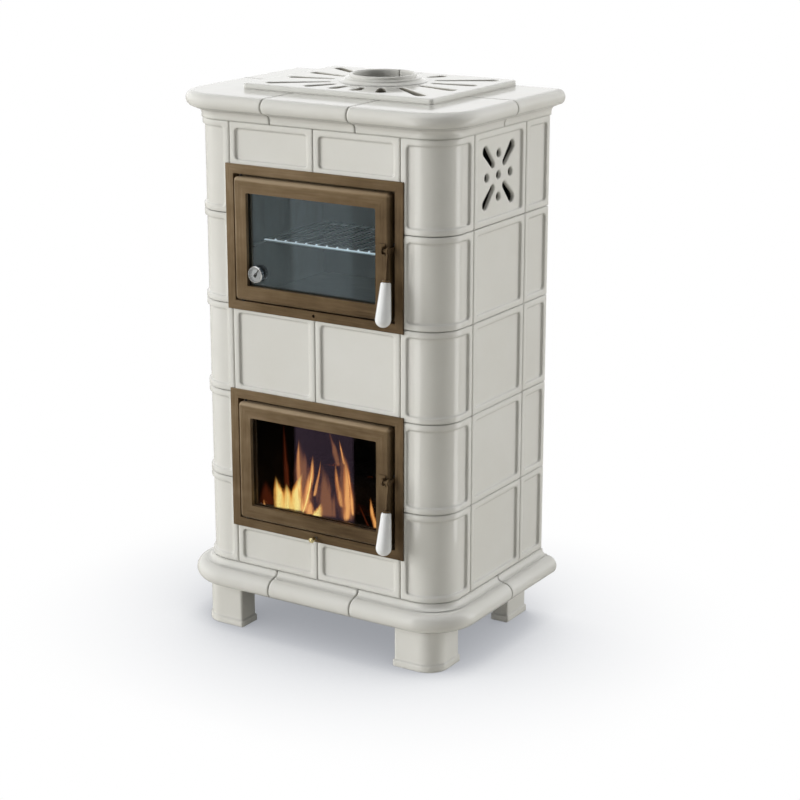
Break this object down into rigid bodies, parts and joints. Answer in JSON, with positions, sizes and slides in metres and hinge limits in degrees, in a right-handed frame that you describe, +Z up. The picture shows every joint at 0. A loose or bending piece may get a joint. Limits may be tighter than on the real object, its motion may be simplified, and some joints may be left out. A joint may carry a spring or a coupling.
{
  "type": "heating stove",
  "caption": "Tall wood stove clad in ivory glazed tiles, with glazed fire and oven doors, ceramic mouldings, pierced side vents and a slotted top with a flue collar.",
  "frame": {"origin": "on the floor, under the middle of the stove's whole box, handles included", "axes": "+Z up, front faces -Y, +X to the viewer's right"},
  "size_m": [0.724, 0.5026, 1.24],
  "materials": {
    "glaze": "glossy ivory glaze",
    "grip_glaze": "glossy white glaze",
    "bronze": "satin bronze enamel",
    "black_steel": "matt heat-proof black",
    "zinc_steel": "galvanised sheet",
    "oven_steel": "satin steel",
    "wire": "bright plated wire",
    "cast_iron": "raw cast iron",
    "firebrick": "rough firebrick",
    "glass": "clear ceramic glass",
    "rope": "braided fibre rope",
    "brass": "polished brass",
    "dial": "bright bezel, black case",
    "needle": "matt black"
  },
  "bodies": {
    "stove": {"foot_front_left": "glaze", "foot_rear_left": "glaze", "base_corner_left": "glaze", "base_side_left": "glaze", "cornice_corner_left": "glaze", "cornice_side_left": "glaze", "corner_tiles_left": "glaze", "side_tiles_left": "glaze", "vent_tile_left": "glaze", "foot_front_right": "glaze", "foot_rear_right": "glaze", "base_corner_right": "glaze", "base_side_right": "glaze", "cornice_corner_right": "glaze", "cornice_side_right": "glaze", "corner_tiles_right": "glaze", "side_tiles_right": "glaze", "vent_tile_right": "glaze", "base_front": "glaze", "cornice_front": "glaze", "front_tiles_bottom": "glaze", "front_tiles_middle": "glaze", "front_tiles_top": "glaze", "top_grille": "glaze", "base_plate": "black_steel", "uprights": "zinc_steel", "rear_panel": "zinc_steel", "shell_walls": "black_steel", "shell_front": "black_steel", "flue_spigot": "black_steel", "hearth_plate": "cast_iron", "fire_grate": "cast_iron", "firebricks": "firebrick", "smoke_baffle": "firebrick", "ash_pan": "zinc_steel", "oven_walls": "oven_steel", "oven_rack": "wire", "hinge_pins": "zinc_steel", "door_catches": "zinc_steel", "fire_frame": "bronze", "oven_frame": "bronze"},
    "fire_door": {"fire_door": "bronze", "fire_glass": "glass", "fire_glass_strips": "black_steel", "fire_seal": "rope", "fire_bracket": "bronze"},
    "fire_handle": {"fire_lever": "bronze", "fire_grip": "grip_glaze"},
    "oven_door": {"oven_door": "bronze", "oven_glass": "glass", "oven_glass_strips": "black_steel", "oven_seal": "rope", "oven_bracket": "bronze", "thermometer_case": "dial"},
    "oven_handle": {"oven_lever": "bronze", "oven_grip": "grip_glaze"},
    "thermometer_needle": {"thermometer_needle": "needle"},
    "air_control": {"air_knob": "brass", "air_slide": "zinc_steel"}
  },
  "joints": [
    {"name": "fire_door_hinge", "type": "hinge", "parent": "stove", "child": "fire_door", "pos_m": [-0.1855, -0.19119, 0.404], "axis": [0, 0, -1], "range_deg": [0, 105]},
    {"name": "fire_handle_lift", "type": "hinge", "parent": "fire_door", "child": "fire_handle", "pos_m": [0.2005, -0.21469, 0.422], "axis": [-1, 0, 0], "range_deg": [0, 70]},
    {"name": "oven_door_hinge", "type": "hinge", "parent": "stove", "child": "oven_door", "pos_m": [-0.1855, -0.19119, 0.904], "axis": [0, 0, -1], "range_deg": [0, 105]},
    {"name": "oven_handle_lift", "type": "hinge", "parent": "oven_door", "child": "oven_handle", "pos_m": [0.2005, -0.21469, 0.922], "axis": [-1, 0, 0], "range_deg": [0, 70]},
    {"name": "thermometer_needle_turn", "type": "hinge", "parent": "oven_door", "child": "thermometer_needle", "pos_m": [-0.1445, -0.19769, 0.8295], "axis": [0, 1, 0], "range_deg": [-165, 95]},
    {"name": "air_knob_pull", "type": "slide", "parent": "stove", "child": "air_control", "axis": [0, -1, 0], "range_m": [0, 0.04]}
  ]
}
